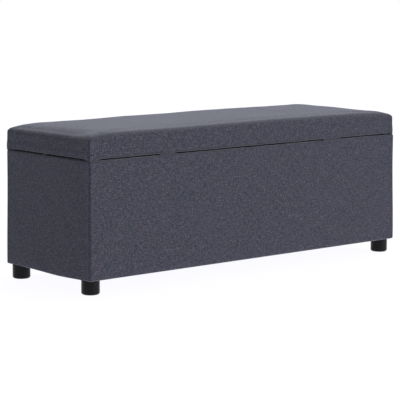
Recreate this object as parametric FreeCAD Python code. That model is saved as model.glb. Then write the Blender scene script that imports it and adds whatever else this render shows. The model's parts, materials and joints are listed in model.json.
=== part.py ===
"""Upholstered storage bench: a boarded box on four round feet, with a padded lid hinged along its back edge.

Millimetres, +Z up, +X to the right along the length, the front faces -Y, and the origin is on the floor under
the middle of the box. Each sub-part is written as one STEP file under parts/.
"""

import FreeCAD
import Part
import math
import os

from FreeCAD import Vector

# Overall size
LENGTH = 1160.0
DEPTH = 380.0
HEIGHT = 440.0

# Heights of the stack
FOOT_HEIGHT = 39.0
RIM_Z = 359.5            # top of the box, fabric included
LID_GAP = 4.0            # between the rim and the lid, filled by the two hinge leaves
LID_Z = RIM_Z + LID_GAP  # underside of the lid

# Upholstery of the box
FABRIC = 1.0             # outer fabric
BATTING = 2.0            # wadding between fabric and board
HEM = 2.0                # fabric folded over the rim and under the box
CORNER_R = 9.0
RIM_R = 4.0
SKIRT_R = 6.0
RETURN_DEPTH = 14.5      # fabric turned down inside the rim
RETURN_THICKNESS = 1.5
LINING = 1.0

# Boards of the box
BOARD = 12.0
BOARD_Z0 = FOOT_HEIGHT + HEM
BOARD_Z1 = RIM_Z - HEM
EASED_R = 3.0            # outside corners and lower edges are eased so that they don't cut the fabric
EASED_RIM_R = 1.5
RAIL_HEIGHT = 30.0
RAIL_WIDTH = 20.0
FLOOR_BOARD = 9.0

# Feet
FOOT_R = 25.0
FOOT_EDGE_R = 6.0
FOOT_INSET_X = 25.0      # from the end face to the foot's axis
FOOT_INSET_Y = 31.0
BLOCK = 60.0
STUD_R = 4.0
STUD_LENGTH = 26.0
TEE_BARREL_R = 5.0
TEE_FLANGE_R = 9.0
TEE_FLANGE = 1.5

# Lid
LID_SHRINK = 1.0         # the lid is this much smaller than the box on every side
LID_COVER = 1.5
LID_HEM = 1.0
LID_BATTING = 4.0
LID_BATTING_SIDE = 4.0   # wadding pulled over the edge of the lid board
LID_BOARD = 15.0
LID_BOARD_CORNER_R = 12.0
LID_TOP_R = 20.0
LID_CORNER_R = 12.0
LID_LOWER_R = 4.0
LID_RETURN = 29.0        # fabric stapled under the lid

# Butt hinges
HINGE_X = {"left": -400.0, "middle": 0.0, "right": 400.0}
HINGE_LENGTH = 60.0
HINGE_Y = DEPTH / 2 + 1.5
HINGE_Z = RIM_Z + LID_GAP / 2
LEAF = 1.8
LEAF_WIDTH = 18.5
KNUCKLE_R = 3.2
KNUCKLE_GAP = 0.3
HINGE_PIN_R = 1.5
PIN_CLEARANCE = 0.05

# Lid stays: the pin in the box and the pivot on the lid are both STAY_RADIUS from the hinge axis
STAY_RADIUS = 150.0
STAY_PIN_DROP = 30.0     # below the hinge axis
STAY_PIVOT_DROP = 10.0
LID_TRAVEL = 95.0        # degrees
ARM = 2.0
ARM_WIDTH = 14.0
ARM_PLANE = 558.0        # |x| of the arm's middle
STAY_PIN_R = 3.0
PLATE = 2.0
PIN_HEAD_R = 6.0
PIN_HEAD = 1.6

# Screws and staples
SCREW_R = 1.6
SCREW_HEAD_R = 3.2
DRILL_CLEARANCE = 0.1
HINGE_SCREW = 14.0
STAY_SCREW = 12.0
PANEL_SCREW = 37.0
STAPLE = (10.0, 1.2, 0.6)  # length, width and thickness of the crown
STAPLE_LEG = 6.0

# Pads that the lid comes down on
BUMPER = (55.0, 10.0)
BUMPER_X = 310.0
BUMPER_SETBACK = 3.0
BUMPER_CLEARANCE = 0.2

# Values that follow from the above
SHELL = FABRIC + BATTING
HALF_L = LENGTH / 2
HALF_D = DEPTH / 2
BOARD_X = HALF_L - SHELL           # outer face of the end boards
BOARD_Y = HALF_D - SHELL
INNER_X = BOARD_X - BOARD          # inner face of the end boards
INNER_Y = BOARD_Y - BOARD
FLOOR_Z0 = FOOT_HEIGHT + LINING + RAIL_HEIGHT
FLOOR_Z1 = FLOOR_Z0 + FLOOR_BOARD
RETURN_Z = RIM_Z - RETURN_DEPTH
LID_X = HALF_L - LID_SHRINK
LID_Y = HALF_D - LID_SHRINK
LID_BOARD_X = LID_X - LID_COVER - LID_BATTING_SIDE
LID_BOARD_Y = LID_Y - LID_COVER - LID_BATTING_SIDE
LID_BOARD_Z0 = LID_Z + LID_HEM
LID_BOARD_Z1 = LID_BOARD_Z0 + LID_BOARD
FEET = {
    "front_left": (-1, -1),
    "front_right": (1, -1),
    "back_left": (-1, 1),
    "back_right": (1, 1),
}
SIDES = {"left": -1, "right": 1}
UP = Vector(0, 0, 1)


def block(x0, x1, y0, y1, z0, z1):
    """A box between two corners, given in any order."""
    low = Vector(min(x0, x1), min(y0, y1), min(z0, z1))
    size = Vector(abs(x1 - x0), abs(y1 - y0), abs(z1 - z0))
    return Part.makeBox(size.x, size.y, size.z, low)


def centred(half_x, half_y, z0, z1):
    return block(-half_x, half_x, -half_y, half_y, z0, z1)


def rod(radius, start, end):
    """A round bar from one point to another."""
    start, end = Vector(*start), Vector(*end)
    return Part.makeCylinder(radius, (end - start).Length, start, end - start)


def upholstered(half_x, half_y, z0, z1, corner_r, top_r, bottom_r):
    """A block with round upright corners, a rolled top edge and a softened bottom edge."""
    solid = centred(half_x, half_y, z0, z1)
    upright = [e for e in solid.Edges if abs(e.tangentAt(e.FirstParameter).z) > 0.5]
    solid = solid.makeFillet(corner_r, upright)
    for z, radius in ((z1, top_r), (z0, bottom_r)):
        if radius:
            rim = [e for e in solid.Edges if e.BoundBox.ZMin > z - 0.01 and e.BoundBox.ZMax < z + 0.01]
            solid = solid.makeFillet(radius, rim)
    return solid


def wedges():
    """The four plan sectors that mitre a sleeve at its corners."""
    inner = HALF_L - HALF_D            # the mitre lines start here on the long axis
    reach = 60.0
    far_x, far_y = HALF_L + reach, HALF_D + reach
    plans = {
        "front": [(-inner, 0), (inner, 0), (far_x, -far_y), (-far_x, -far_y)],
        "back": [(-inner, 0), (inner, 0), (far_x, far_y), (-far_x, far_y)],
        "left": [(-inner, 0), (-far_x, -far_y), (-far_x, far_y)],
        "right": [(inner, 0), (far_x, -far_y), (far_x, far_y)],
    }
    solids = {}
    for name, plan in plans.items():
        corners = [Vector(x, y, 0) for x, y in plan]
        face = Part.Face(Part.makePolygon(corners + corners[:1]))
        solids[name] = face.extrude(UP * HEIGHT)
    return solids


def screw(tip, head):
    """A countersunk wood screw from its tip to the middle of its flush head."""
    tip, head = Vector(*tip), Vector(*head)
    along = tip - head
    along.normalize()
    cone = Part.makeCone(SCREW_HEAD_R, SCREW_R, SCREW_HEAD_R - SCREW_R, head, along)
    shank = Part.makeCylinder(SCREW_R, (tip - head).Length, head, along)
    return cone.fuse(shank).removeSplitter()


def drill(tip, head):
    """The hole that a screw needs, a little wider than the screw and open past its head."""
    tip, head = Vector(*tip), Vector(*head)
    along = tip - head
    along.normalize()
    wide = SCREW_HEAD_R + DRILL_CLEARANCE
    narrow = SCREW_R + DRILL_CLEARANCE
    cone = Part.makeCone(wide, narrow, wide - narrow, head, along)
    shank = Part.makeCylinder(narrow, (tip - head).Length + DRILL_CLEARANCE, head, along)
    return cone.fuse(shank)


def hinge_screw_ends(side):
    """Tip and head of each hinge screw; side is -1 for the box leaf and 1 for the lid leaf."""
    face_z = HINGE_Z + side * (LID_GAP / 2 - LEAF)
    y = HINGE_Y - LEAF_WIDTH / 2 - 1.0
    for x in HINGE_X.values():
        for offset in (-HINGE_LENGTH / 3, HINGE_LENGTH / 3):
            yield (x + offset, y, face_z + side * HINGE_SCREW), (x + offset, y, face_z)


def stay_pin_place():
    """Y and Z of the pin in the box."""
    return HINGE_Y - math.sqrt(STAY_RADIUS**2 - STAY_PIN_DROP**2), HINGE_Z - STAY_PIN_DROP


def stay_pivot_place():
    """Y and Z of the arm's pivot on the lid, with the lid closed."""
    return HINGE_Y - math.sqrt(STAY_RADIUS**2 - STAY_PIVOT_DROP**2), HINGE_Z - STAY_PIVOT_DROP


def stay_box_screw_ends():
    y, z = stay_pin_place()
    for sign in SIDES.values():
        head_x = sign * (INNER_X - LINING - PLATE)
        for offset in (-16.0, 16.0):
            yield (head_x + sign * STAY_SCREW, y + offset, z), (head_x, y + offset, z)


def stay_lid_screw_ends():
    y, _ = stay_pivot_place()
    for sign in SIDES.values():
        x = sign * (ARM_PLANE - 16.0)
        for offset in (-9.0, 9.0):
            yield (x, y + offset, LID_Z - PLATE + STAY_SCREW), (x, y + offset, LID_Z - PLATE)


def panel_screw_ends():
    """Screws through the front and back boards into the edges of the end boards."""
    for sx in (-1, 1):
        for sy in (-1, 1):
            for z in (BOARD_Z0 + 40, (BOARD_Z0 + BOARD_Z1) / 2, BOARD_Z1 - 40):
                x = sx * (BOARD_X - BOARD / 2)
                yield (x, sy * (BOARD_Y - PANEL_SCREW), z), (x, sy * BOARD_Y, z)


def screws(ends):
    return Part.makeCompound([screw(tip, head) for tip, head in ends])


def drilled(solid, *groups):
    """The solid with a hole for every screw of each group that reaches it."""
    for ends in groups:
        for tip, head in ends:
            hole = drill(tip, head)
            if hole.BoundBox.intersect(solid.BoundBox):
                solid = solid.cut(hole)
    return solid


def box_boards():
    """Front and back boards run the full length; the end boards fit between them."""
    eased = upholstered(BOARD_X, BOARD_Y, BOARD_Z0, BOARD_Z1, EASED_R, EASED_RIM_R, EASED_R)
    parts = {}
    for name, sign in (("front", -1), ("back", 1)):
        board = block(-BOARD_X, BOARD_X, sign * INNER_Y, sign * BOARD_Y, BOARD_Z0, BOARD_Z1).common(eased)
        parts[name + "_panel"] = drilled(board, panel_screw_ends(), hinge_screw_ends(-1))
    for name, sign in SIDES.items():
        board = block(sign * INNER_X, sign * BOARD_X, -INNER_Y, INNER_Y, BOARD_Z0, BOARD_Z1).common(eased)
        parts[name + "_panel"] = drilled(board, panel_screw_ends(), stay_box_screw_ends())
    parts["floor_panel"] = centred(INNER_X, INNER_Y, FLOOR_Z0, FLOOR_Z1)
    return parts


def floor_frame():
    """Rails under the floor board, between the four foot blocks, and one batten across the middle."""
    z0, z1 = FLOOR_Z0 - RAIL_HEIGHT, FLOOR_Z0
    end_x, end_y = INNER_X - BLOCK, INNER_Y - BLOCK
    parts = {}
    for name, sign in (("front", -1), ("back", 1)):
        y0, y1 = sign * (INNER_Y - RAIL_WIDTH), sign * INNER_Y
        parts["floor_rail_" + name] = block(-end_x, end_x, y0, y1, z0, z1)
    for name, sign in SIDES.items():
        x0, x1 = sign * (INNER_X - RAIL_WIDTH), sign * INNER_X
        parts["floor_rail_" + name] = block(x0, x1, -end_y, end_y, z0, z1)
    half_span = INNER_Y - RAIL_WIDTH
    parts["cross_batten"] = block(-RAIL_WIDTH, RAIL_WIDTH, -half_span, half_span, z0, z1)
    return parts


def foot_axis(sx, sy):
    return sx * (HALF_L - FOOT_INSET_X), sy * (HALF_D - FOOT_INSET_Y)


def foot(x, y):
    """A turned foot: straight side, rounded lower edge, blind hole for the stud."""
    body = Part.makeCylinder(FOOT_R, FOOT_HEIGHT, Vector(x, y, 0))
    lower = [e for e in body.Edges if e.BoundBox.ZMax < 0.01]
    body = body.makeFillet(FOOT_EDGE_R, lower)
    hole = rod(STUD_R + DRILL_CLEARANCE, (x, y, FOOT_HEIGHT - STUD_LENGTH / 2), (x, y, FOOT_HEIGHT))
    return body.cut(hole)


def feet():
    """The feet, the blocks they screw into, and their studs and tee nuts."""
    block_z0 = FLOOR_Z0 - RAIL_HEIGHT
    parts, studs, nuts = {}, [], []
    for name, (sx, sy) in FEET.items():
        x, y = foot_axis(sx, sy)
        stud_z0, stud_z1 = FOOT_HEIGHT - STUD_LENGTH / 2, FOOT_HEIGHT + STUD_LENGTH / 2
        studs.append(rod(STUD_R, (x, y, stud_z0), (x, y, stud_z1)))
        barrel = rod(TEE_BARREL_R, (x, y, block_z0 + 2), (x, y, FLOOR_Z0))
        flange = rod(TEE_FLANGE_R, (x, y, FLOOR_Z0 - TEE_FLANGE), (x, y, FLOOR_Z0))
        thread = rod(STUD_R + DRILL_CLEARANCE, (x, y, block_z0), (x, y, FLOOR_Z0))
        nuts.append(barrel.fuse(flange).cut(thread).removeSplitter())
        corner = block(sx * (INNER_X - BLOCK), sx * INNER_X, sy * (INNER_Y - BLOCK), sy * INNER_Y, block_z0, FLOOR_Z0)
        seat = rod(TEE_BARREL_R + DRILL_CLEARANCE, (x, y, block_z0), (x, y, FLOOR_Z0))
        recess = rod(TEE_FLANGE_R + DRILL_CLEARANCE, (x, y, FLOOR_Z0 - TEE_FLANGE), (x, y, FLOOR_Z0))
        parts["foot_block_" + name] = corner.cut(seat).cut(recess)
        parts["foot_" + name] = foot(x, y)
    parts["foot_studs"] = Part.makeCompound(studs)
    parts["tee_nuts"] = Part.makeCompound(nuts)
    return parts


def stud_holes(solid):
    """Clearance for the four studs through a thin layer."""
    for sx, sy in FEET.values():
        x, y = foot_axis(sx, sy)
        solid = solid.cut(rod(TEE_BARREL_R, (x, y, FOOT_HEIGHT - 1), (x, y, FLOOR_Z0)))
    return solid


def batting():
    """Flat wadding on the outside of each board, stopping short of the round corners."""
    parts = {}
    for name, sign in (("front", -1), ("back", 1)):
        y0, y1 = sign * BOARD_Y, sign * (BOARD_Y + BATTING)
        half = BOARD_X - CORNER_R
        parts[name + "_wadding"] = block(-half, half, y0, y1, BOARD_Z0 + SKIRT_R, BOARD_Z1 - RIM_R)
    for name, sign in SIDES.items():
        x0, x1 = sign * BOARD_X, sign * (BOARD_X + BATTING)
        half = BOARD_Y - CORNER_R
        parts[name + "_wadding"] = block(x0, x1, -half, half, BOARD_Z0 + SKIRT_R, BOARD_Z1 - RIM_R)
    return parts


def staple_places():
    """Middle of each staple along the hem under the box, and whether it lies along X."""
    hem_y, hem_x = BOARD_Y - BOARD / 2, BOARD_X - BOARD / 2
    for sy in (-1, 1):
        for step in range(-3, 4):
            yield step * 150.0, sy * hem_y, True
    for sx in (-1, 1):
        for y in (-90.0, 0.0, 90.0):
            yield sx * hem_x, y, False


def staples():
    """U-shaped staples driven up through the hem into the boards."""
    length, wire, thickness = STAPLE
    solids = []
    for x, y, along_x in staple_places():
        half = length / 2
        crown = block(-half, half, -wire / 2, wire / 2, FOOT_HEIGHT - thickness, FOOT_HEIGHT)
        bent = crown
        for end in (-1, 1):
            x0, x1 = end * (half - thickness), end * half
            bent = bent.fuse(block(x0, x1, -wire / 2, wire / 2, FOOT_HEIGHT, FOOT_HEIGHT + STAPLE_LEG))
        bent = bent.removeSplitter()
        if not along_x:
            bent.rotate(Vector(0, 0, 0), UP, 90)
        bent.translate(Vector(x, y, 0))
        solids.append(bent)
    return Part.makeCompound(solids)


def box_covers(wadding, staple_set):
    """The fabric sleeve, folded in over the rim and under the boards, in four panels sewn at the corners."""
    sleeve = upholstered(HALF_L, HALF_D, FOOT_HEIGHT, RIM_Z, CORNER_R, RIM_R, SKIRT_R)
    sleeve = sleeve.cut(centred(BOARD_X, BOARD_Y, BOARD_Z0, BOARD_Z1))
    sleeve = sleeve.cut(centred(INNER_X, INNER_Y, FOOT_HEIGHT - 1, RETURN_Z))
    sleeve = sleeve.fuse(centred(INNER_X, INNER_Y, RETURN_Z, RIM_Z)).removeSplitter()
    inner_x, inner_y = INNER_X - RETURN_THICKNESS, INNER_Y - RETURN_THICKNESS
    sleeve = sleeve.cut(centred(inner_x, inner_y, FOOT_HEIGHT - 1, RIM_Z + 1))
    for solid in wadding:
        sleeve = sleeve.cut(solid)
    sleeve = drilled(sleeve, hinge_screw_ends(-1))
    parts = {}
    for name, wedge in wedges().items():
        panel = sleeve.common(wedge)
        parts[name + "_cover"] = panel.cut(staple_set)
    return parts


def linings():
    """Thin black lining on the inside of every wall, on the floor board, and under the box."""
    parts = {}
    for name, sign in (("front", -1), ("back", 1)):
        y0, y1 = sign * (INNER_Y - LINING), sign * INNER_Y
        parts[name + "_lining"] = block(-INNER_X, INNER_X, y0, y1, FLOOR_Z1, RETURN_Z)
    for name, sign in SIDES.items():
        x0, x1 = sign * (INNER_X - LINING), sign * INNER_X
        half = INNER_Y - LINING
        sheet = block(x0, x1, -half, half, FLOOR_Z1, RETURN_Z)
        parts[name + "_lining"] = drilled(sheet, stay_box_screw_ends())
    parts["floor_lining"] = centred(INNER_X - LINING, INNER_Y - LINING, FLOOR_Z1, FLOOR_Z1 + LINING)
    parts["dust_cover"] = stud_holes(centred(INNER_X, INNER_Y, FOOT_HEIGHT, FOOT_HEIGHT + LINING))
    return parts


def lid():
    """Lid board, foam, wadding drawn over both, fabric cover and black underside."""
    cover_outer = upholstered(LID_X, LID_Y, LID_Z, HEIGHT, LID_CORNER_R, LID_TOP_R, LID_LOWER_R)
    batt_x, batt_y = LID_X - LID_COVER, LID_Y - LID_COVER
    batt_outer = upholstered(
        batt_x, batt_y, LID_BOARD_Z0, HEIGHT - LID_COVER, LID_CORNER_R - LID_COVER, LID_TOP_R - LID_COVER, 0
    )
    inset = LID_COVER + LID_BATTING
    foam = upholstered(
        LID_X - inset, LID_Y - inset, LID_BOARD_Z1, HEIGHT - inset, LID_CORNER_R - inset, LID_TOP_R - inset, 0
    )
    board = upholstered(LID_BOARD_X, LID_BOARD_Y, LID_BOARD_Z0, LID_BOARD_Z1, LID_BOARD_CORNER_R, 0, 0)
    window = centred(LID_X - LID_RETURN, LID_Y - LID_RETURN, LID_Z, LID_BOARD_Z0)
    cover = cover_outer.cut(batt_outer).cut(window)
    return {
        "lid_board": drilled(board, hinge_screw_ends(1), stay_lid_screw_ends()),
        "seat_foam": foam,
        "seat_wadding": batt_outer.cut(board).cut(foam),
        "lid_cover": drilled(cover, hinge_screw_ends(1), stay_lid_screw_ends()),
        "lid_lining": drilled(window, stay_lid_screw_ends()),
    }


def hinge_leaf(x, side):
    """One leaf with its knuckles; side is -1 on the box, with the two outer knuckles, and 1 on the lid."""
    half = HINGE_LENGTH / 2
    z_face = HINGE_Z + side * LID_GAP / 2
    z_inner = z_face - side * LEAF
    root = HINGE_Y - KNUCKLE_R - KNUCKLE_GAP
    leaf = block(x - half, x + half, HINGE_Y - LEAF_WIDTH, root, z_inner, z_face)
    third = HINGE_LENGTH / 3
    if side < 0:
        spans = [(x - half, x - third / 2 - KNUCKLE_GAP), (x + third / 2 + KNUCKLE_GAP, x + half)]
    else:
        spans = [(x - third / 2, x + third / 2)]
    for x0, x1 in spans:
        leaf = leaf.fuse(block(x0, x1, root, HINGE_Y, z_inner, z_face))
        leaf = leaf.fuse(rod(KNUCKLE_R, (x0, HINGE_Y, HINGE_Z), (x1, HINGE_Y, HINGE_Z)))
    bore = rod(HINGE_PIN_R + PIN_CLEARANCE, (x - half, HINGE_Y, HINGE_Z), (x + half, HINGE_Y, HINGE_Z))
    return drilled(leaf.cut(bore).removeSplitter(), hinge_screw_ends(side))


def hinges():
    parts, pins = {}, []
    half = HINGE_LENGTH / 2
    for name, x in HINGE_X.items():
        parts[f"hinge_{name}_box_leaf"] = hinge_leaf(x, -1)
        parts[f"hinge_{name}_lid_leaf"] = hinge_leaf(x, 1)
        pins.append(rod(HINGE_PIN_R, (x - half, HINGE_Y, HINGE_Z), (x + half, HINGE_Y, HINGE_Z)))
    parts["hinge_pins"] = Part.makeCompound(pins)
    return parts


def chord(open_degrees):
    """Distance from the arm's pivot to the pin in the box, with the lid open by so many degrees."""
    spread = math.asin(STAY_PIN_DROP / STAY_RADIUS) - math.asin(STAY_PIVOT_DROP / STAY_RADIUS)
    return 2 * STAY_RADIUS * math.sin((spread + math.radians(open_degrees)) / 2)


def stay_arm(sign):
    """A slotted flat bar, drawn hanging straight down from the pivot and then turned to point at the pin."""
    x0, x1 = sign * (ARM_PLANE - ARM / 2), sign * (ARM_PLANE + ARM / 2)
    pivot_y, pivot_z = stay_pivot_place()
    near, far = chord(0), chord(LID_TRAVEL)

    def stadium(radius, top, bottom):
        """A bar with round ends, between two distances below the pivot."""
        shape = block(x0, x1, pivot_y - radius, pivot_y + radius, pivot_z - bottom, pivot_z - top)
        for depth in (top, bottom):
            shape = shape.fuse(rod(radius, (x0, pivot_y, pivot_z - depth), (x1, pivot_y, pivot_z - depth)))
        return shape

    arm = stadium(ARM_WIDTH / 2, 0, far + 4)
    arm = arm.cut(stadium(STAY_PIN_R + PIN_CLEARANCE, near - 1, far + 1))
    arm = arm.cut(rod(STAY_PIN_R + PIN_CLEARANCE, (x0, pivot_y, pivot_z), (x1, pivot_y, pivot_z)))
    arm = arm.removeSplitter()
    pin_y, pin_z = stay_pin_place()
    lean = math.degrees(math.atan2(pin_y - pivot_y, pivot_z - pin_z))
    arm.rotate(Vector(0, pivot_y, pivot_z), Vector(1, 0, 0), lean)
    return arm


def headed_pin(sign, y, z, inner, outer, head_at):
    """A pin along X between two distances from the middle, with a head past each distance listed."""
    pin = rod(STAY_PIN_R, (sign * inner, y, z), (sign * outer, y, z))
    for start, end in head_at:
        pin = pin.fuse(rod(PIN_HEAD_R, (sign * start, y, z), (sign * end, y, z)))
    return pin.removeSplitter()


def stays():
    """Both lid stays: box bracket with its pin, lid bracket with its pivot, and the slotted arm."""
    parts, pins, pivots = {}, [], []
    pin_y, pin_z = stay_pin_place()
    pivot_y, pivot_z = stay_pivot_place()
    wall = INNER_X - LINING
    arm_in, arm_out = ARM_PLANE - ARM / 2, ARM_PLANE + ARM / 2
    gap = KNUCKLE_GAP
    for name, sign in SIDES.items():
        parts[f"stay_{name}_arm"] = stay_arm(sign)
        plate = block(sign * (wall - PLATE), sign * wall, pin_y - 22, pin_y + 22, pin_z - 8, pin_z + 8)
        hole = rod(STAY_PIN_R + DRILL_CLEARANCE, (sign * (wall - PLATE), pin_y, pin_z), (sign * wall, pin_y, pin_z))
        parts[f"stay_{name}_box_bracket"] = drilled(plate.cut(hole), stay_box_screw_ends())
        head_in = arm_in - gap - PIN_HEAD
        heads = [(head_in, arm_in - gap), (arm_out + gap, wall - PLATE)]
        pins.append(headed_pin(sign, pin_y, pin_z, head_in, wall, heads))
        tab_in, tab_out = arm_in - gap - PLATE, arm_in - gap
        tab = rod(PIN_HEAD_R + 2, (sign * tab_in, pivot_y, pivot_z), (sign * tab_out, pivot_y, pivot_z))
        neck = PIN_HEAD_R + 2
        tab = tab.fuse(block(sign * tab_in, sign * tab_out, pivot_y - neck, pivot_y + neck, pivot_z, LID_Z))
        flange = block(sign * (tab_in - 20), sign * tab_out, pivot_y - 16, pivot_y + 16, LID_Z - PLATE, LID_Z)
        bracket = tab.fuse(flange).removeSplitter()
        bore = rod(STAY_PIN_R + DRILL_CLEARANCE, (sign * tab_in, pivot_y, pivot_z), (sign * tab_out, pivot_y, pivot_z))
        parts[f"stay_{name}_lid_bracket"] = drilled(bracket.cut(bore), stay_lid_screw_ends())
        pivot_heads = [(tab_in - PIN_HEAD, tab_in), (arm_out + gap, arm_out + gap + PIN_HEAD)]
        pivots.append(headed_pin(sign, pivot_y, pivot_z, tab_in, arm_out + gap, pivot_heads))
    parts["stay_pins"] = Part.makeCompound(pins)
    parts["stay_pivots"] = Part.makeCompound(pivots)
    return parts


def rim_bumpers():
    """Two soft pads on the front rim that the lid comes down on."""
    length, width = BUMPER
    y0 = -HALF_D + BUMPER_SETBACK
    pads = []
    for sign in SIDES.values():
        x0 = sign * BUMPER_X - length / 2
        pads.append(block(x0, x0 + length, y0, y0 + width, RIM_Z, LID_Z - BUMPER_CLEARANCE))
    return Part.makeCompound(pads)


def fasteners():
    return {
        "panel_screws": screws(panel_screw_ends()),
        "box_hardware_screws": screws([*hinge_screw_ends(-1), *stay_box_screw_ends()]),
        "lid_hardware_screws": screws([*hinge_screw_ends(1), *stay_lid_screw_ends()]),
    }


def main():
    wadding = batting()
    staple_set = staples()
    parts = {"staples": staple_set, "rim_bumpers": rim_bumpers()}
    parts.update(box_boards())
    for name in ("front", "back", "left", "right"):
        parts[name + "_panel"] = parts[name + "_panel"].cut(staple_set)
    parts.update(wadding)
    parts.update(box_covers(wadding.values(), staple_set))
    for group in (floor_frame, feet, linings, lid, hinges, stays, fasteners):
        parts.update(group())

    os.makedirs("parts", exist_ok=True)
    for name, shape in parts.items():
        if not shape.isValid():
            raise ValueError(f"{name} is not a valid shape")
        shape.exportStep(f"parts/{name}.step")
    print(len(parts), "parts")


main()
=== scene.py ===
"""Looks of the upholstered storage bench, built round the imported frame. Metres, in the row frame.

The fabric panels of the box, the padded lid and every lining are modelled here; boards, feet, hinges, stays and
fasteners keep their CAD shapes and get their materials here.
"""

import json
import math

import bpy
import numpy as np
from mathutils import Matrix, Vector


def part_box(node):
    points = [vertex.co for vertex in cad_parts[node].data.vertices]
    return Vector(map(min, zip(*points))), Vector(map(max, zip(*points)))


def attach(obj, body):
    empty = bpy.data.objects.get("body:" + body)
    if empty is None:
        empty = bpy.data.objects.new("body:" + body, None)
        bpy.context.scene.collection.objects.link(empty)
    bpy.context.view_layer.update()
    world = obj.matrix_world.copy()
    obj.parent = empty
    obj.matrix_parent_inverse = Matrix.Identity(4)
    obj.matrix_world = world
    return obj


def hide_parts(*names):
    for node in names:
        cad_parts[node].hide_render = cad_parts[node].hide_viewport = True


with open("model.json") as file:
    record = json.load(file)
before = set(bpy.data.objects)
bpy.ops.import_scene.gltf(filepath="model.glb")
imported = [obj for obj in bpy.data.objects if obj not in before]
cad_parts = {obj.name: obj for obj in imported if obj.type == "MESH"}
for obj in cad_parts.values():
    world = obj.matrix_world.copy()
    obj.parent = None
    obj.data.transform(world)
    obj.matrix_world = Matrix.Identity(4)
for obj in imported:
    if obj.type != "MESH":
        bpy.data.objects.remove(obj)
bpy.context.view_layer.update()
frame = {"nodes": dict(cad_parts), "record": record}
NODES = frame["nodes"]

MM = 0.001

# ---------------------------------------------------------------- sizes, all from the frame
FRONT_LOW, FRONT_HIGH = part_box("front_cover")
LID_LOW, LID_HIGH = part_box("lid_cover")
HALF_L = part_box("right_cover")[1].x      # outer faces of the box
HALF_D = -FRONT_LOW.y
BASE_Z = FRONT_LOW.z                     # underside of the hem
RIM_Z = FRONT_HIGH.z                     # top of the box, under the lid
INNER_Y = -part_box("front_panel")[1].y    # inner face of the front board
RETURN_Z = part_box("front_lining")[1].z   # where the cloth that is turned in over the rim meets the lining

# Box upholstery
CLOTH = 1.0 * MM
BOX_CORNER_R = 4.0 * MM
RIM_R = 3.0 * MM                     # outer edge of the rim
SKIRT_R = 6.0 * MM                   # lower edge
FLARE = 2.0 * MM                     # how far the doubled hem stands proud at the bottom
FLARE_ENDS = (2.0 * MM, 4.5 * MM)    # the same at the left and right ends
HEM_SAG = 3.4 * MM                   # how far the hem hangs down in the middle of the left end
RETURN_R = 2.0 * MM                  # inner edge of the rim
RETURN = 1.5 * MM                    # how far the turned-in cloth stands off the board's inner face
HEM_LAP = 1.0 * MM                   # how far the hem's end stops short of the board's inner face
SEAM_DEPTH = 0.9 * MM                # the seam's groove, and the puffed cloth beside it
SEAM_WIDTH = 1.6 * MM
SEAM_PUFF = 0.5 * MM
FACE_STEP = 9.0 * MM                 # spacing of the points on the level parts of box and lid covers
WALL_SEED, LINING_SEED = 20, 40

# Lid upholstery
LID_CLOTH = 1.2 * MM
LID_ROLL = 20.0 * MM                 # radius of the rolled top edge
LID_CORNER_ROLL = 9.0 * MM           # how much less high the roll is at the corners
LID_CORNER_R = 4.0 * MM
LID_HEM_R = 2.0 * MM
LID_TUCK = 0.4 * MM                  # how far the side leans in towards its lower edge
LID_LIFT = 2.6 * MM                  # how far the hem is pulled up between the corners
LID_LIP = 3.0 * MM                   # how far in from the hem the cloth meets the board's underside
LID_EDGE_Z = 0.4322                  # height of the top along its front and back edges
LID_CROWN = 2.5 * MM                 # from front to back
LID_LONG_CROWN = 1.6 * MM            # from end to end, highest a little right of the middle
LID_END_DROP = ((20.0 * MM, 30.0 * MM), (14.0 * MM, 52.0 * MM))     # depth and reach, at the left and at the right
LID_CORNER_DROP = ((12.0 * MM, 17.0 * MM), (17.0 * MM, 18.0 * MM))  # front and back, at the left and at the right
LID_CORNER_REACH = 31.0 * MM
LID_SHIFT = (1.2 * MM, 2.4 * MM)     # how far the left and right ends sit towards the left
LID_GROWTH = 1.6 * MM                # the start shape is this much larger, because the cloth draws in
LID_SWELL = 2.2 * MM                 # the furthest that a point may move as it swells
SWELL_FRAMES = 20
LID_SEED = 11

# Rows of the lid's cover, counted outwards from its level top: rolled edge, side, hem, strip underneath
TURN_ROWS, SIDE_ROWS, HEM_ROWS, STRIP_ROWS = 6, 8, 3, 4
HEM_START = TURN_ROWS + SIDE_ROWS
STRIP_START = HEM_START + HEM_ROWS
LAST_ROW = STRIP_START + STRIP_ROWS

# Linings
LINING_CLOTH = 0.8 * MM
LINING_STEP = 16.0 * MM

# Studio: metres, degrees, and a lens in millimetres
CAMERA_PLACE = (-3.4262, -3.9285, 0.9053)
CAMERA_YAW = 40.82
CAMERA_PITCH = -7.83
CAMERA_ROLL = 0.22
CAMERA_LENS = 162.1
FLOOR_SIZE = 30.0
FLOOR_GLOW = (0.96, 0.96, 1.00, 1.0)
WORLD_LIGHT = 0.32
MAIN_LIGHT = ("overhead", 2.05, (0.70, 0.32, 1.0), 60.0)     # name, strength, direction it comes from, angle
FILL_LIGHT = ("front_fill", 2.25, (0.5, -1.0, 0.25), 45.0)


# ---------------------------------------------------------------- small mathematics
def waves(points, wavelength, seed, count=9):
    """A smooth random height of about -1 to 1 at each point, from plane waves in seeded directions."""
    rng = np.random.default_rng(seed)
    points = np.asarray(points, float)
    total = np.zeros(len(points))
    for _ in range(count):
        direction = rng.normal(size=points.shape[1])
        direction /= np.linalg.norm(direction)
        length = wavelength * rng.uniform(0.7, 1.6)
        total += np.sin(points @ direction * (2 * math.pi / length) + rng.uniform(0, 2 * math.pi))
    return total / math.sqrt(count)


def bump(distance, width):
    """1 at no distance, falling smoothly to nothing."""
    return np.exp(-((np.asarray(distance, float) / width) ** 2))


def smooth_step(value, low, high):
    """0 up to low and 1 from high on, or the other way round where high is the smaller."""
    t = np.clip((np.asarray(value, float) - low) / (high - low), 0, 1)
    return t * t * (3 - 2 * t)


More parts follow.
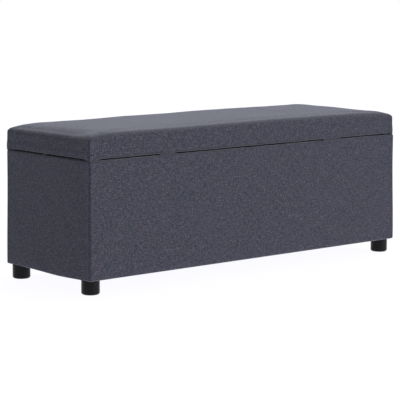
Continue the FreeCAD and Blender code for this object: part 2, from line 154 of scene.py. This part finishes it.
def graded(half, coarse, edge):
    """Positions from -half to half: the edge distances, measured in from each end, then even steps."""
    start = edge[-1]
    steps = max(2, round(2 * (half - start) / coarse))
    middle = np.linspace(-half + start, half - start, steps + 1)
    ends = np.array(edge[:-1])
    return np.concatenate([-half + ends, middle, (half - ends)[::-1]])


def arc(centre, radius, start, end, steps):
    """Points on an arc in a plane, angles in degrees, both ends included."""
    angles = np.radians(np.linspace(start, end, steps + 1))
    return [(centre[0] + radius * math.cos(a), centre[1] + radius * math.sin(a)) for a in angles]


# ---------------------------------------------------------------- meshes
def mesh_object(name, points, faces, uv=None, attributes=None):
    """A smooth-shaded mesh, with an optional cloth layout and optional values at its points."""
    mesh = bpy.data.meshes.new(name)
    mesh.from_pydata([tuple(p) for p in points], [], [tuple(f) for f in faces])
    mesh.update()
    mesh.polygons.foreach_set("use_smooth", [True] * len(mesh.polygons))
    if uv is not None:
        layer = mesh.uv_layers.new(name="cloth")
        loops = np.zeros(len(mesh.loops), np.int32)
        mesh.loops.foreach_get("vertex_index", loops)
        layer.data.foreach_set("uv", np.asarray(uv, np.float32)[loops].ravel())
    for key, values in (attributes or {}).items():
        layer = mesh.attributes.new(key, "FLOAT", "POINT")
        layer.data.foreach_set("value", np.asarray(values, np.float32))
    piece = bpy.data.objects.new(name, mesh)
    bpy.context.scene.collection.objects.link(piece)
    return piece


def grid_faces(columns, rows):
    """Quads of a grid whose vertex (i, j) is number i * rows + j."""
    faces = []
    for i in range(columns - 1):
        for j in range(rows - 1):
            a = i * rows + j
            faces.append((a, a + rows, a + rows + 1, a + 1))
    return faces


def thicken(piece, thickness, levels=0):
    """Gives a cloth surface its thickness, inwards, after an optional subdivision."""
    if levels:
        fine = piece.modifiers.new("fine", "SUBSURF")
        fine.levels = fine.render_levels = levels
    shell = piece.modifiers.new("thickness", "SOLIDIFY")
    shell.thickness = thickness
    shell.offset = -1.0
    return piece


# ---------------------------------------------------------------- material building
class Tree:
    """A material's node tree, with one call per kind of node."""

    def __init__(self, name):
        self.material = bpy.data.materials.new(name)
        self.material.use_nodes = True
        self.nodes = self.material.node_tree.nodes
        self.links = self.material.node_tree.links
        self.shader = self.nodes["Principled BSDF"]

    def add(self, kind, inputs=None, **settings):
        node = self.nodes.new(kind)
        for key, value in settings.items():
            setattr(node, key, value)
        for key, value in (inputs or {}).items():
            self.feed(node.inputs[key], value)
        return node

    def feed(self, socket, value):
        if isinstance(value, bpy.types.NodeSocket):
            self.links.new(value, socket)
        else:
            socket.default_value = value

    def math(self, operation, a, b=0.0):
        return self.add("ShaderNodeMath", {0: a, 1: b}, operation=operation).outputs[0]

    def scaled(self, vector, scale, offset=(0.0, 0.0, 0.0)):
        node = self.add("ShaderNodeMapping", {"Vector": vector, "Scale": scale, "Location": offset})
        return node.outputs[0]

    def noise(self, vector, scale=1.0, detail=2.0, roughness=0.5):
        inputs = {"Vector": vector, "Scale": scale, "Detail": detail, "Roughness": roughness}
        return self.add("ShaderNodeTexNoise", inputs).outputs["Fac"]

    def ramp(self, factor, stops):
        node = self.add("ShaderNodeValToRGB", {"Fac": factor})
        elements = node.color_ramp.elements
        while len(elements) < len(stops):
            elements.new(0.5)
        for element, (position, colour) in zip(elements, stops):
            element.position = position
            element.color = (*colour, 1.0)
        return node.outputs["Color"]

    def mix(self, factor, a, b, blend="MIX"):
        node = self.add("ShaderNodeMix", data_type="RGBA", blend_type=blend)
        for key, value in ((0, factor), (6, a), (7, b)):
            if key and not isinstance(value, bpy.types.NodeSocket):
                value = (*value, 1.0)
            self.feed(node.inputs[key], value)
        return node.outputs[2]

    def set(self, **values):
        for key, value in values.items():
            self.feed(self.shader.inputs[key.replace("_", " ")], value)

    def relief(self, height, distance, strength=1.0):
        node = self.add("ShaderNodeBump", {"Height": height, "Distance": distance, "Strength": strength})
        self.set(Normal=node.outputs[0])


def upholstery_material():
    """Plain-weave melange cloth: dark blue-grey and paler yarns of uneven thickness, matt, with a slight bloom."""
    t = Tree("upholstery")
    cloth = t.add("ShaderNodeUVMap", uv_map="cloth").outputs[0]
    yarn = 2 * math.pi / 0.0022
    warp = t.math("SINE", t.add("ShaderNodeSeparateXYZ", {0: t.scaled(cloth, (yarn, yarn, 1))}).outputs[0])
    weft = t.math("SINE", t.add("ShaderNodeSeparateXYZ", {0: t.scaled(cloth, (yarn, yarn, 1))}).outputs[1])
    over = t.math("MULTIPLY", warp, weft)
    warp_yarns = t.noise(t.scaled(cloth, (620, 70, 1)), detail=3.0, roughness=0.6)
    weft_yarns = t.noise(t.scaled(cloth, (70, 620, 1), (3.1, 8.7, 0)), detail=3.0, roughness=0.6)
    shown = t.math("ADD", t.math("MULTIPLY", over, 0.5), 0.5)
    yarns = t.add("ShaderNodeMix", {0: shown, 2: warp_yarns, 3: weft_yarns}, data_type="FLOAT").outputs[0]
    specks = t.noise(t.scaled(cloth, (210, 210, 1), (1.7, 4.4, 0)), detail=3.0, roughness=0.65)
    slubs_up = t.noise(t.scaled(cloth, (300, 60, 1), (6.3, 2.2, 0)), detail=2.0, roughness=0.6)
    slubs_across = t.noise(t.scaled(cloth, (60, 300, 1), (9.1, 5.5, 0)), detail=2.0, roughness=0.6)
    slubs = t.math("MAXIMUM", slubs_up, slubs_across)
    tone = t.math("ADD", t.math("MULTIPLY", yarns, 0.34), t.math("MULTIPLY", specks, 0.36))
    tone = t.math("ADD", tone, t.math("MULTIPLY", slubs, 0.30))
    body = t.ramp(tone, [
        (0.40, (0.013, 0.013, 0.019)),
        (0.50, (0.040, 0.040, 0.056)),
        (0.58, (0.075, 0.076, 0.101)),
        (0.68, (0.185, 0.187, 0.224)),
    ])
    drift = t.noise(t.scaled(cloth, (26, 26, 1)), detail=3.0, roughness=0.6)
    body = t.mix(1.0, body, t.ramp(drift, [(0.36, (0.90, 0.95, 0.96)), (0.64, (1.06, 1.01, 1.02))]), "MULTIPLY")
    # Painted shade: the cloth is mixed towards near-black in the seams' grooves and on the turned-under edges in the
    # gap between lid and box.
    shade = t.add("ShaderNodeAttribute", attribute_name="shade").outputs["Fac"]   # seams and turned-under edges
    body = t.mix(t.math("MULTIPLY", shade, 0.6), body, (0.012, 0.012, 0.018))
    t.set(Base_Color=body, Roughness=0.92)
    t.set(Specular_IOR_Level=0.18, Sheen_Weight=0.45, Sheen_Roughness=0.40, Sheen_Tint=(0.8, 0.82, 0.95, 1.0))
    threads = t.math("ADD", t.math("MULTIPLY", t.math("ABSOLUTE", over), 0.6), t.math("MULTIPLY", yarns, 0.8))
    t.relief(threads, 0.0004, 0.55)
    return t.material


def lining_material():
    """Black spun-bonded cloth, embossed with small dots."""
    t = Tree("lining")
    cloth = t.add("ShaderNodeUVMap", uv_map="cloth").outputs[0]
    dots = t.add("ShaderNodeTexVoronoi", {"Vector": cloth, "Scale": 420.0, "Randomness": 0.15}).outputs["Distance"]
    fibres = t.noise(t.scaled(cloth, (260, 900, 1)), detail=4.0, roughness=0.7)
    tone = t.math("ADD", t.math("MULTIPLY", dots, 0.5), t.math("MULTIPLY", fibres, 0.6))
    colour = t.ramp(tone, [(0.3, (0.010, 0.010, 0.011)), (0.7, (0.034, 0.034, 0.037))])
    t.set(Base_Color=colour, Roughness=0.85, Specular_IOR_Level=0.3, Sheen_Weight=0.08)
    t.relief(tone, 0.0003, 0.5)
    return t.material


def plastic_material():
    """Black moulded plastic with a fine spark-eroded grain and light scuffs."""
    t = Tree("foot_plastic")
    place = t.add("ShaderNodeTexCoord").outputs["Object"]
    grain = t.noise(place, 1900.0, 2.0)
    scuffs = t.noise(t.scaled(place, (60, 60, 420)), detail=5.0, roughness=0.7)
    t.set(Base_Color=t.ramp(scuffs, [(0.40, (0.002, 0.002, 0.003)), (0.75, (0.006, 0.006, 0.008))]))
    t.set(Roughness=t.math("ADD", 0.2, t.math("MULTIPLY", scuffs, 0.2)), Specular_IOR_Level=0.16)
    t.relief(grain, 0.0001, 0.25)
    return t.material


def steel_material(name, low, high, roughness):
    """Zinc-plated pressed steel, with fine rolling lines and a patchy passivated tint."""
    t = Tree(name)
    place = t.add("ShaderNodeTexCoord").outputs["Object"]
    lines = t.noise(t.scaled(place, (90, 2400, 2400)), detail=3.0, roughness=0.6)
    patches = t.noise(place, 240.0, 4.0, 0.6)
    t.set(Base_Color=t.ramp(patches, [(0.3, low), (0.7, high)]), Metallic=1.0)
    t.set(Roughness=t.math("ADD", roughness, t.math("MULTIPLY", lines, 0.18)))
    t.relief(lines, 0.00005, 0.3)
    return t.material


def rubber_material():
    """Dark dense foam pad: matt, with a fine open texture."""
    t = Tree("bumper_rubber")
    place = t.add("ShaderNodeTexCoord").outputs["Object"]
    cells = t.noise(place, 1500.0, 3.0, 0.7)
    t.set(Base_Color=t.ramp(cells, [(0.3, (0.030, 0.030, 0.038)), (0.7, (0.070, 0.071, 0.086))]), Roughness=0.95)
    t.relief(cells, 0.0002, 0.4)
    return t.material


def board_material():
    """Pale softwood board with growth lines along its length."""
    t = Tree("board")
    place = t.add("ShaderNodeTexCoord").outputs["Object"]
    warp = t.noise(t.scaled(place, (2, 2, 8)), detail=2.0)
    lines = t.noise(t.scaled(place, (3, 60, 90)), detail=5.0, roughness=0.6)
    tone = t.math("ADD", t.math("MULTIPLY", warp, 0.4), t.math("MULTIPLY", lines, 0.6))
    t.set(Base_Color=t.ramp(tone, [(0.35, (0.36, 0.22, 0.11)), (0.65, (0.60, 0.43, 0.25))]), Roughness=0.7)
    t.relief(lines, 0.0003, 0.3)
    return t.material


def fill_material(name, dark, pale, scale):
    """Wadding or foam: pale and fluffy."""
    t = Tree(name)
    place = t.add("ShaderNodeTexCoord").outputs["Object"]
    cells = t.noise(place, scale, 4.0, 0.7)
    t.set(Base_Color=t.ramp(cells, [(0.3, dark), (0.7, pale)]), Roughness=1.0, Sheen_Weight=0.2)
    t.relief(cells, 0.001, 0.5)
    return t.material


def floor_material():
    """White studio floor, lit from below, with a barely visible mottle."""
    t = Tree("studio_floor")
    place = t.add("ShaderNodeTexCoord").outputs["Object"]
    mottle = t.noise(place, 3.0, 3.0)
    t.set(Base_Color=t.ramp(mottle, [(0.3, (0.05, 0.05, 0.05)), (0.7, (0.06, 0.06, 0.06))]), Roughness=0.9)
    t.set(Specular_IOR_Level=0.0, Emission_Color=FLOOR_GLOW, Emission_Strength=1.0)
    return t.material


MATERIALS = {
    "upholstery": upholstery_material(),
    "lining": lining_material(),
    "foot_plastic": plastic_material(),
    "zinc_steel": steel_material("zinc_steel", (0.50, 0.50, 0.48), (0.66, 0.66, 0.64), 0.26),
    "fastener_steel": steel_material("fastener_steel", (0.48, 0.46, 0.40), (0.66, 0.63, 0.54), 0.30),
    "bumper_rubber": rubber_material(),
    "board": board_material(),
    "wadding": fill_material("wadding", (0.66, 0.66, 0.64), (0.84, 0.84, 0.82), 400.0),
    "foam": fill_material("foam", (0.62, 0.60, 0.46), (0.78, 0.76, 0.60), 900.0),
}


def dress(piece, slot):
    piece.data.materials.clear()
    piece.data.materials.append(MATERIALS[slot])
    return piece


# ---------------------------------------------------------------- box upholstery
def wall_profile():
    """A wall's fabric in section, as (outward offset, height): from under the board, up, over the rim, down inside."""
    inner = INNER_Y - HALF_D - RETURN
    hem_end = INNER_Y - HALF_D + HEM_LAP
    points = [(hem_end, BASE_Z), ((hem_end - SKIRT_R) / 2, BASE_Z)]
    points += arc((-SKIRT_R, BASE_Z + SKIRT_R), SKIRT_R, -90, 0, 5)
    face = np.linspace(BASE_Z + SKIRT_R, RIM_Z - RIM_R, 38)[1:-1]
    points += [(0.0, z) for z in face]
    points += arc((-RIM_R, RIM_Z - RIM_R), RIM_R, 0, 90, 4)
    points += arc((inner + RETURN_R, RIM_Z - RETURN_R), RETURN_R, 90, 180, 3)
    points += [(inner, z) for z in np.linspace(RIM_Z - RETURN_R, RETURN_Z, 4)[1:]]
    return np.array(points)


def wall_cover(name, node, outward, half_length, half_depth, seed):
    """One side's fabric panel, mitred at both ends, with a stitched seam along each upright corner."""
    profile = wall_profile()
    outward = Vector(outward)
    along = Vector((-outward.y, outward.x, 0))
    edge = np.array([0.0, 0.8, 1.6, 2.6, 4.0, 6.0, 9.0, 14.0, 20.0]) * MM
    straight = half_length - BOX_CORNER_R
    reach = straight + BOX_CORNER_R * math.pi / 4
    stations = graded(reach, FACE_STEP, edge)
    cloth_v = np.concatenate([[0], np.cumsum(np.linalg.norm(np.diff(profile, axis=0), axis=1))])
    points, uv, shade = [], [], []
    low, high = BASE_Z, RIM_Z
    for station in stations:
        from_end = reach - abs(station)
        side = 1 if station >= 0 else -1
        for (offset, z), v in zip(profile, cloth_v):
            radius = max(BOX_CORNER_R + offset, 0.0)
            length = straight + radius * math.pi / 4 if radius > 0 else half_length + offset
            at = length - from_end
            groove = SEAM_PUFF * bump(from_end - 5 * MM, 3 * MM) - SEAM_DEPTH * bump(from_end, SEAM_WIDTH)
            groove *= smooth_step(offset, -3 * MM, -1 * MM)
            if radius > 0 and at > straight:
                turn = (at - straight) / radius
                a = straight + (radius + groove) * math.sin(turn)
                o = -BOX_CORNER_R + (radius + groove) * math.cos(turn)
            else:
                a, o = at, offset + groove
            points.append((side * a, o, z))
            uv.append((station, v))
            # Painted shade: the cloth is darkened in the seam's groove at each upright corner, and where it is turned
            # in over the rim, in the gap under the lid.
            seam_shade = bump(from_end, 0.9 * MM) * smooth_step(offset, -9 * MM, -2 * MM)
            rim_shade = smooth_step(offset, -2.2 * MM, -4.0 * MM) * (z > RIM_Z - 6 * MM)
            shade.append(max(float(seam_shade), float(rim_shade)))
    points = np.array(points)
    face = smooth_step(points[:, 1], -4 * MM, -0.5 * MM)
    free = smooth_step(reach - np.abs(np.array(uv)[:, 0]), 4 * MM, 40 * MM) * face
    plan = points[:, [0, 2]]
    slack = 0.45 * MM * waves(plan, 0.21, seed) + 0.22 * MM * waves(plan, 0.07, seed + 1)
    low_pull = smooth_step(points[:, 2], low + 70 * MM, low + 10 * MM)
    slack += 0.35 * MM * low_pull * np.sin(points[:, 0] * 2 * math.pi / 0.15 + seed)
    points[:, 1] += free * np.clip(slack, -0.6 * MM, 1.2 * MM)
    if outward.x < 0:
        hanging = smooth_step(points[:, 2], low + 60 * MM, low + 4 * MM)
        hanging *= smooth_step(points[:, 1], -16 * MM, -6 * MM)
        points[:, 2] -= HEM_SAG * hanging * bump(points[:, 0] - 45 * MM, 90 * MM)
    flare = smooth_step(points[:, 2], high - 60 * MM, low + 10 * MM) * face
    world = []
    for (a, o, z), share in zip(points, flare):
        place = outward * (half_depth + o) + along * a + Vector((0, 0, z))
        place.x *= 1 + share * FLARE_ENDS[place.x > 0] / HALF_L
        place.y *= 1 + share * FLARE / HALF_D
        world.append(place)
    piece = mesh_object(name, world, grid_faces(len(stations), len(profile)), uv, {"shade": shade})
    thicken(piece, CLOTH)
    dress(piece, "upholstery")
    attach(piece, "box")
    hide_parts(node)
    return piece


# ---------------------------------------------------------------- lid upholstery
def lid_top(x, y):
    """Height of the pad's top: nearly level, slightly crowned, and drawn down towards both ends and all corners."""
    from_end = max(HALF_L - abs(x), 0.0)
    from_side = max(HALF_D - abs(y), 0.0)
    crown = LID_CROWN * (1 - (y / HALF_D) ** 2) + LID_LONG_CROWN * float(bump(x - 0.12, 0.25))
    at_middle = float(smooth_step(from_side, 10 * MM, 90 * MM))
    depth, reach = LID_END_DROP[x > 0]
    drawn = at_middle * depth * math.exp(-from_end / reach)
    drawn += (1 - at_middle) * LID_CORNER_DROP[x > 0][y > 0] * math.exp(-from_end / LID_CORNER_REACH)
    return LID_EDGE_Z + crown - drawn


def lid_surface():
    """The start shape of the lid's cover: top, rolled edges, sides, and the strip stapled underneath."""
    half_x, half_y = LID_HIGH.x + LID_GROWTH, LID_HIGH.y + LID_GROWTH
    base = LID_LOW.z + LID_LIFT
    core_x, core_y = half_x - LID_ROLL, half_y - LID_ROLL
    edge = np.array([0.0, 1.6, 3.4, 5.6, 8.5, 12.5, 18.0, 25.0, 33.0, 42.0]) * MM
    xs, ys = graded(core_x, FACE_STEP, edge), graded(core_y, FACE_STEP, edge)
    turns = np.radians(np.linspace(0, 90, TURN_ROWS + 1)[1:])
    down = np.linspace(0, 1, SIDE_ROWS + 1)[1:]
    lower = np.radians(np.linspace(0, 90, HEM_ROWS + 1)[1:])
    strip = half_x - LID_TUCK - LID_HEM_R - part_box("lid_lining")[1].x - 1 * MM
    under = np.array([LID_LIP, 0.35 * strip, 0.7 * strip, strip])
    index, points, uv, kind = {}, [], [], []

    def add(key, make):
        if key not in index:
            place, cloth, row = make()
            index[key] = len(points)
            points.append(place)
            uv.append(cloth)
            kind.append(row)
        return index[key]

    def top_point(i, j):
        return add((i, j, 0), lambda: ((xs[i], ys[j], lid_top(xs[i], ys[j])), (xs[i], ys[j]), 0))

    def ring(i, j, out, radius):
        """The border point (i, j) of the level top, moved out by a distance, on a rectangle with rounded corners."""
        wide, deep = core_x + out, core_y + out
        x, y = xs[i] * wide / core_x, ys[j] * deep / core_y
        near_x, near_y = max(radius - wide, min(wide - radius, x)), max(radius - deep, min(deep - radius, y))
        away = Vector((x - near_x, y - near_y))
        reach = max(abs(away.x), abs(away.y))
        if reach > 1e-9:
            away = away.normalized() * reach
        return near_x + away.x, near_y + away.y

    def ring_point(i, j, k):
        """Row k outwards from the border point (i, j), down the side and in underneath."""
        if k == 0:
            return top_point(i, j)
        edge_z = lid_top(xs[i], ys[j])
        from_top_corner = (core_x - abs(xs[i])) / (30 * MM) + (core_y - abs(ys[j])) / (45 * MM)
        fall = LID_ROLL - LID_CORNER_ROLL * math.exp(-from_top_corner)
        shoulder = edge_z - fall
        foot = base + LID_HEM_R
        if k <= TURN_ROWS:
            turn = turns[k - 1]
            out = LID_ROLL * math.sin(turn)
            z = edge_z - fall * (1 - math.cos(turn))
            gone = LID_ROLL * turn
        elif k <= HEM_START:
            share = down[k - TURN_ROWS - 1]
            z = shoulder + (foot - shoulder) * share
            out = LID_ROLL - LID_TUCK * share * share
            gone = LID_ROLL * math.pi / 2 + (shoulder - foot) * share
        else:
            gone = LID_ROLL * math.pi / 2 + (shoulder - foot)
            if k <= STRIP_START:
                turn = lower[k - HEM_START - 1]
                out = LID_ROLL - LID_TUCK - LID_HEM_R * (1 - math.cos(turn))
                z = foot - LID_HEM_R * math.sin(turn)
                gone += LID_HEM_R * turn
            else:
                inwards = under[k - STRIP_START - 1]
                out = LID_ROLL - LID_TUCK - LID_HEM_R - inwards
                z = LID_LOW.z
                gone += LID_HEM_R * math.pi / 2 + inwards
        radius = LID_CORNER_R * min(1.0, max(out, 0.0) / LID_ROLL) if k <= TURN_ROWS else LID_CORNER_R
        radius = max(0.3 * MM, radius - max(0.0, LID_ROLL - LID_TUCK - out) * (k > HEM_START))
        x, y = ring(i, j, out, radius)
        on_end = abs(xs[i]) > core_x - 1e-9
        on_side = abs(ys[j]) > core_y - 1e-9
        cloth_x = xs[i] + (math.copysign(gone, xs[i]) if on_end and not on_side else 0)
        cloth_y = ys[j] + (math.copysign(gone, ys[j]) if on_side else 0)
        return add((i, j, k), lambda: ((x, y, z), (cloth_x, cloth_y), k))

    faces = []
    for i in range(len(xs) - 1):
        for j in range(len(ys) - 1):
            faces.append((top_point(i, j), top_point(i + 1, j), top_point(i + 1, j + 1), top_point(i, j + 1)))
    last_i, last_j = len(xs) - 1, len(ys) - 1
    border = [(i, 0) for i in range(last_i)] + [(last_i, j) for j in range(last_j)]
    border += [(i, last_j) for i in range(last_i, 0, -1)] + [(0, j) for j in range(last_j, 0, -1)]
    for n, here in enumerate(border):
        after = border[(n + 1) % len(border)]
        for k in range(LAST_ROW):
            faces.append((
                ring_point(*here, k), ring_point(*here, k + 1), ring_point(*after, k + 1), ring_point(*after, k),
            ))
    return np.array(points), faces, np.array(uv), np.array(kind)


def swell(piece, held):
    """Cloth simulation: the cover is blown up a little from inside, held along its lower edge and its corner seams."""
    rest = np.array([v.co for v in piece.data.vertices])
    group = piece.vertex_groups.new(name="held")
    for weight in np.unique(held[held > 0]):
        group.add([int(i) for i in np.flatnonzero(held == weight)], float(weight), "REPLACE")
    cloth = piece.modifiers.new("cloth", "CLOTH")
    settings = cloth.settings
    settings.quality = 5
    settings.mass = 0.3
    settings.tension_stiffness = settings.compression_stiffness = 25
    settings.shear_stiffness = 12
    settings.bending_stiffness = 2.0
    settings.use_pressure = True
    settings.uniform_pressure_force = 4.0
    settings.vertex_group_mass = "held"
    settings.effector_weights.gravity = 0.0
    cloth.collision_settings.use_collision = False
    scene = bpy.context.scene
    for number in range(1, SWELL_FRAMES + 1):
        scene.frame_set(number)
    evaluated = piece.evaluated_get(bpy.context.evaluated_depsgraph_get())
    moved = np.array([v.co for v in evaluated.data.vertices])
    scene.frame_set(1)
    piece.modifiers.remove(cloth)
    piece.vertex_groups.remove(group)
    shift = moved - rest
    length = np.linalg.norm(shift, axis=1, keepdims=True)
    limit = LID_SWELL * np.tanh(length / LID_SWELL)
    return rest + shift * limit / np.maximum(length, 1e-9)


def corner_sag(points, dx, dy):
    """How far the hem hangs down at each point, because the cloth is folded double under the corners.

    dx and dy are the distances from the ends and from the sides. The sag is long on one side of a corner and short on
    the other.
    """
    left, front = points[:, 0] < 0, points[:, 1] < 0
    facing = left & front                # the corner that faces the viewer in the closed bench
    right_front = ~left & front
    along = np.where(right_front, dy, dx) - np.where(facing, 0.0, 45 * MM)
    across = np.where(right_front, dx, dy) * np.where(facing, 1.0, 1.25)
    depth = np.where(facing, 6.0, 6.4) * MM
    return depth * (smooth_step(along, 46 * MM, 12 * MM) * smooth_step(across, 32 * MM, 6 * MM))


def lid_cover():
    """The padded lid: a start shape that is blown up, then seams, pulls, a fold and the sagging corners."""
    points, faces, uv, row = lid_surface()
    dx, dy = HALF_L - np.abs(points[:, 0]), HALF_D - np.abs(points[:, 1])
    from_mitre, from_corner = np.abs(dx - dy) / math.sqrt(2), np.hypot(dx, dy)
    height = points[:, 2]
    at_seam = (row >= TURN_ROWS // 2) * (row <= STRIP_START) * (from_corner < 22 * MM)
    seam = bump(from_mitre, 1.3 * MM) * at_seam
    # Painted shade: the cloth is darkened in the seams' grooves at the corners, and strongly on the hem and the strip
    # turned under it, in the gap over the box.
    hem_shade = smooth_step(row, HEM_START - 0.5, HEM_START + 1.5) * smooth_step(row, LAST_ROW, LAST_ROW - 2)
    piece = mesh_object("lid_upholstery", points, faces, uv, {"shade": np.maximum(seam, 1.5 * hem_shade)})
    held = np.where(row >= HEM_START - 2, 1.0, 0.0)
    held = np.maximum(held, 0.4 * (seam > 0.5))
    points = swell(piece, held)

    outward = np.array([v.normal for v in piece.data.vertices])
    # The seam draws the cloth in, and the stuffing stands proud beside it.
    move = (-1.5 * MM * bump(from_mitre, 1.8 * MM) + 0.5 * MM * bump(from_mitre - 7 * MM, 4 * MM)) * at_seam
    # Short pulls run out of each top corner, over a slightly uneven filling.
    plan = points[:, :2]
    upper = smooth_step(height, LID_LOW.z + 8 * MM, LID_LOW.z + 40 * MM)
    move += waves(plan, 0.05, LID_SEED) * bump(from_corner - 45 * MM, 35 * MM) * 0.6 * MM * upper
    move += (0.45 * MM * waves(plan, 0.24, LID_SEED + 1) + 0.2 * MM * waves(points, 0.08, LID_SEED + 2)) * upper
    # A short fold on the left end, beside the corner that faces the viewer in the closed bench.
    fold_y, fold_z = -HALF_D + 14 * MM, LID_EDGE_Z - 9 * MM
    fold = bump(points[:, 1] - fold_y, 8 * MM) * bump(height - fold_z, 3 * MM)
    move -= 1.6 * MM * fold * (points[:, 0] < -HALF_L + 8 * MM)
    points = points + outward * move[:, None]
    # The corners sag until they all but rest on the box's rim.
    low_down = smooth_step(height, LID_LOW.z + 26 * MM, LID_LOW.z + 2 * MM)
    points[:, 2] -= corner_sag(points, dx, dy) * low_down
    points[:, 2] = np.maximum(points[:, 2], RIM_Z + 0.2 * MM)
    share = smooth_step(points[:, 0], HALF_L - 80 * MM, HALF_L)
    points[:, 0] -= LID_SHIFT[0] + (LID_SHIFT[1] - LID_SHIFT[0]) * share
    piece.data.vertices.foreach_set("co", points.astype(np.float32).ravel())
    piece.data.update()
    thicken(piece, LID_CLOTH, levels=1)
    dress(piece, "upholstery")
    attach(piece, "lid")
    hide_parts("lid_cover", "seat_wadding", "seat_foam")
    return piece


# ---------------------------------------------------------------- linings
def lining_sheet(name, node, body, normal, seed, slack=0.6 * MM):
    """A thin sheet in place of a flat lining node: held along its edges, slightly slack between them."""
    low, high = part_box(node)
    normal = Vector(normal)
    axis = max(range(3), key=lambda k: abs(normal[k]))
    u_axis, v_axis = [k for k in range(3) if k != axis]
    face = high[axis] if normal[axis] > 0 else low[axis]
    edge = np.array([0, 3, 8, 16]) * MM
    us = graded((high[u_axis] - low[u_axis]) / 2, LINING_STEP, edge)
    vs = graded((high[v_axis] - low[v_axis]) / 2, LINING_STEP, edge)
    middle = (low + high) / 2
    points, uv = [], []
    for u in us:
        for v in vs:
            place = [0.0, 0.0, 0.0]
            place[axis], place[u_axis], place[v_axis] = face, middle[u_axis] + u, middle[v_axis] + v
            points.append(place)
            uv.append((u, v))
    points, uv = np.array(points), np.array(uv)
    inset = np.minimum(us[-1] - np.abs(uv[:, 0]), vs[-1] - np.abs(uv[:, 1]))
    hem = 0.5 * MM * bump(inset - 6 * MM, 4 * MM)
    loose = slack * smooth_step(inset, 4 * MM, 40 * MM)
    rise = loose * (0.55 + 0.3 * waves(uv, 0.16, seed) + 0.15 * waves(uv, 0.06, seed + 1)) + hem
    points[:, axis] += math.copysign(1, normal[axis]) * np.maximum(rise, 0)
    faces = grid_faces(len(us), len(vs))
    turns = Vector([1 if k == u_axis else 0 for k in range(3)]).cross(
        Vector([1 if k == v_axis else 0 for k in range(3)])
    )
    if turns.dot(normal) < 0:
        faces = [f[::-1] for f in faces]
    piece = mesh_object(name, points, faces, uv)
    thicken(piece, LINING_CLOTH)
    dress(piece, "lining")
    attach(piece, body)
    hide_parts(node)
    return piece


# ---------------------------------------------------------------- build
SIDES = {
    "front": ((0, -1, 0), HALF_L, HALF_D),
    "right": ((1, 0, 0), HALF_D, HALF_L),
    "back": ((0, 1, 0), HALF_L, HALF_D),
    "left": ((-1, 0, 0), HALF_D, HALF_L),
}
for number, (side, (normal, half_length, half_depth)) in enumerate(SIDES.items()):
    wall_cover(f"{side}_fabric", f"{side}_cover", normal, half_length, half_depth, WALL_SEED + 3 * number)
    inward = [-c for c in normal]
    lining_sheet(f"{side}_lining_sheet", f"{side}_lining", "box", inward, LINING_SEED + number)
lining_sheet("floor_lining_sheet", "floor_lining", "box", (0, 0, 1), LINING_SEED + 11, slack=1.6 * MM)
lining_sheet("dust_cover_sheet", "dust_cover", "box", (0, 0, -1), LINING_SEED + 17, slack=0.4 * MM)
lining_sheet("lid_lining_sheet", "lid_lining", "lid", (0, 0, -1), LINING_SEED + 23, slack=0.4 * MM)
lid_cover()

for node_name, node in NODES.items():
    if not node.hide_render:
        slot = next(s["material_slot"] for s in frame["record"]["subparts"] if s["node"] == node_name)
        dress(node, slot)


# ---------------------------------------------------------------- studio
def add_camera():
    data = bpy.data.cameras.new("camera")
    data.lens = CAMERA_LENS
    data.sensor_width = 36.0
    data.clip_end = 100.0
    camera = bpy.data.objects.new("camera", data)
    bpy.context.scene.collection.objects.link(camera)
    yaw = Matrix.Rotation(math.radians(-CAMERA_YAW), 4, "Z")
    pitch = Matrix.Rotation(math.radians(90 + CAMERA_PITCH), 4, "X")
    roll = Matrix.Rotation(math.radians(CAMERA_ROLL), 4, "Z")
    camera.matrix_world = Matrix.Translation(CAMERA_PLACE) @ yaw @ pitch @ roll
    bpy.context.scene.camera = camera


def add_floor():
    marks = np.linspace(-FLOOR_SIZE / 2, FLOOR_SIZE / 2, 25)
    points = [(x, y, 0.0) for x in marks for y in marks]
    floor = mesh_object("studio_floor", points, grid_faces(len(marks), len(marks)))
    floor.data.materials.append(floor_material())


def add_sun(name, strength, comes_from, angle):
    """A wide soft light that is even over the whole scene."""
    data = bpy.data.lights.new(name, "SUN")
    data.energy = strength
    data.angle = math.radians(angle)
    light = bpy.data.objects.new(name, data)
    light.rotation_euler = (-Vector(comes_from)).to_track_quat("-Z", "Y").to_euler()
    bpy.context.scene.collection.objects.link(light)


def add_world():
    """Soft even light from all round, with a plain white studio behind."""
    world = bpy.data.worlds.new("studio")
    world.use_nodes = True
    nodes, links = world.node_tree.nodes, world.node_tree.links
    light = nodes["Background"]
    light.inputs["Color"].default_value = (0.94, 0.96, 1.0, 1.0)
    light.inputs["Strength"].default_value = WORLD_LIGHT
    backdrop = nodes.new("ShaderNodeBackground")
    backdrop.inputs["Strength"].default_value = 1.0
    backdrop.inputs["Color"].default_value = (1.0, 1.0, 1.0, 1.0)
    seen = nodes.new("ShaderNodeMixShader")
    links.new(nodes.new("ShaderNodeLightPath").outputs["Is Camera Ray"], seen.inputs[0])
    links.new(light.outputs[0], seen.inputs[1])
    links.new(backdrop.outputs[0], seen.inputs[2])
    links.new(seen.outputs[0], nodes["World Output"].inputs["Surface"])
    bpy.context.scene.world = world


add_camera()
add_floor()
add_world()
add_sun(*MAIN_LIGHT)
add_sun(*FILL_LIGHT)
bpy.context.scene.view_settings.view_transform = "Standard"
